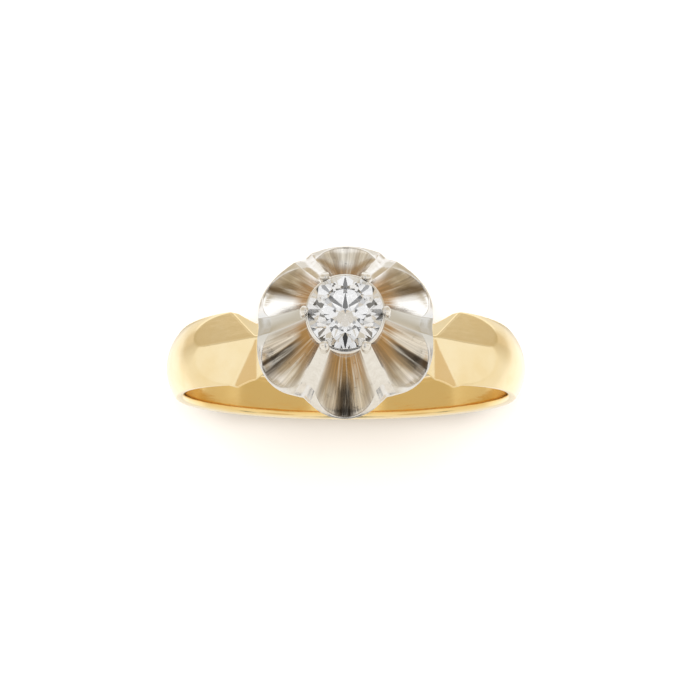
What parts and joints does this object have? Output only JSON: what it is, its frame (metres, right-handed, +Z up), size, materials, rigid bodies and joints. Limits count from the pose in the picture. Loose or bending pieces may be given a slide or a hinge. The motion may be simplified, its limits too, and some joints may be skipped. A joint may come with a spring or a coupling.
{
  "type": "flower ring",
  "caption": "Finger ring with a tapered gold shank, ridged shoulders and a scooped white metal flower head holding a round brilliant in claws.",
  "frame": {"origin": "centre of the ring's box at the surface that it rests on", "axes": "+Z up from that surface. The ring lies on its side, on one petal and on the back of the shank, with its head towards -Y and the shank's back towards +Y. X runs across the finger."},
  "size_m": [0.0198, 0.0248, 0.0089],
  "materials": {
    "yellow_gold": "polished",
    "white_metal": "polished",
    "diamond": "polished"
  },
  "bodies": {
    "root": {"shank": "yellow_gold", "flower_head": "white_metal", "stone": "diamond"}
  },
  "joints": []
}
